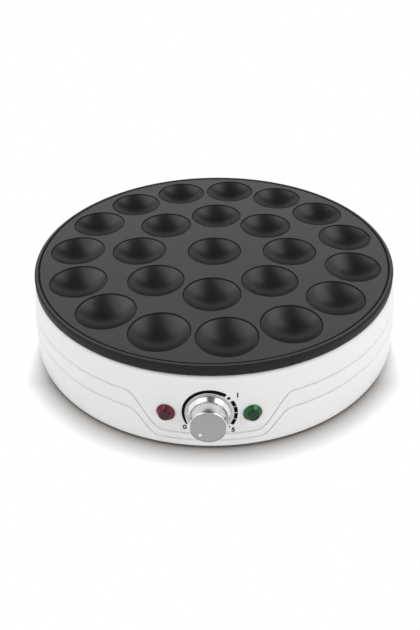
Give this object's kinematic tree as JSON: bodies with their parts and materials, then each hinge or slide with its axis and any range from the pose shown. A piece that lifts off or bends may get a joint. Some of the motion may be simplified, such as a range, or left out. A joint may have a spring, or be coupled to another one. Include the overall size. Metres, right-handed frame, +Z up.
{
  "type": "mini pancake maker",
  "caption": "Round electric mini pancake maker: dark cast plate with rings of round cups on a white drum with a thermostat knob and pilot lamps.",
  "frame": {"origin": "middle of the flat underside of the base cover, on the drum's axis; the rubber feet reach 2.5 mm below it", "axes": "+Z up along the drum's axis, -Y towards the front panel with the knob, +X to the right seen from the front"},
  "size_m": [0.3156, 0.334, 0.0709],
  "materials": {
    "nonstick_plate": "dark matte non-stick coating on cast aluminium",
    "white_plastic": "white moulded plastic, satin to gloss",
    "chrome_knob": "polished chrome plating",
    "satin_metal": "satin turned aluminium",
    "steel": "plated steel",
    "bright_sheet": "bright aluminised sheet steel",
    "ceramic": "unglazed white ceramic",
    "brass": "plain brass",
    "black_plastic": "black moulded plastic, fine grain",
    "black_rubber": "black rubber",
    "red_lens": "clear red plastic",
    "green_lens": "clear green plastic",
    "lamp_glass": "clear glass",
    "red_wire": "red insulation",
    "white_wire": "white insulation"
  },
  "bodies": {
    "base": {"baking_plate": "nonstick_plate", "housing": "white_plastic", "knob_trim_ring": "satin_metal", "heating_element": "steel", "clamp_screw_1": "steel", "clamp_screw_2": "steel", "clamp_screw_3": "steel", "clamp_screw_4": "steel", "plate_screw_1": "steel", "plate_screw_2": "steel", "plate_screw_3": "steel", "plate_screw_4": "steel", "plate_screw_5": "steel", "cover_screw_1": "steel", "cover_screw_2": "steel", "cover_screw_3": "steel", "cover_screw_4": "steel", "terminal_block_screw": "steel", "fuse_screw": "steel", "heat_shield": "bright_sheet", "element_clamp_1": "bright_sheet", "element_clamp_2": "bright_sheet", "element_clamp_3": "bright_sheet", "element_clamp_4": "bright_sheet", "lamp_retainer_red": "bright_sheet", "lamp_retainer_green": "bright_sheet", "fuse_clip": "bright_sheet", "thermal_fuse": "bright_sheet", "thermostat_body": "ceramic", "terminal_block": "ceramic", "insulating_washer_1": "ceramic", "insulating_washer_2": "ceramic", "insulating_washer_3": "ceramic", "insulating_washer_4": "ceramic", "insulating_washer_5": "ceramic", "thermostat_nut": "brass", "bimetal_strip": "brass", "contact_blade": "brass", "thermostat_tab_live": "brass", "thermostat_tab_switched": "brass", "base_cover": "black_plastic", "cord_gland": "black_plastic", "cord_gland_nut": "black_plastic", "rubber_foot_1": "black_rubber", "rubber_foot_2": "black_rubber", "rubber_foot_3": "black_rubber", "rubber_foot_4": "black_rubber", "lens_red": "red_lens", "lens_green": "green_lens", "bulb_red": "lamp_glass", "bulb_green": "lamp_glass", "wire_live": "red_wire", "wire_switched": "white_wire", "wire_neutral": "white_wire", "wire_return": "white_wire"},
    "dial": {"knob": "chrome_knob", "knob_face": "satin_metal", "knob_clip": "steel", "dial_shaft": "steel"}
  },
  "joints": [
    {"name": "knob_turn", "type": "hinge", "parent": "base", "child": "dial", "pos_m": [0, -0.15536, 0.031], "axis": [0, 0.9924, -0.123], "range_deg": [0, 264]}
  ]
}
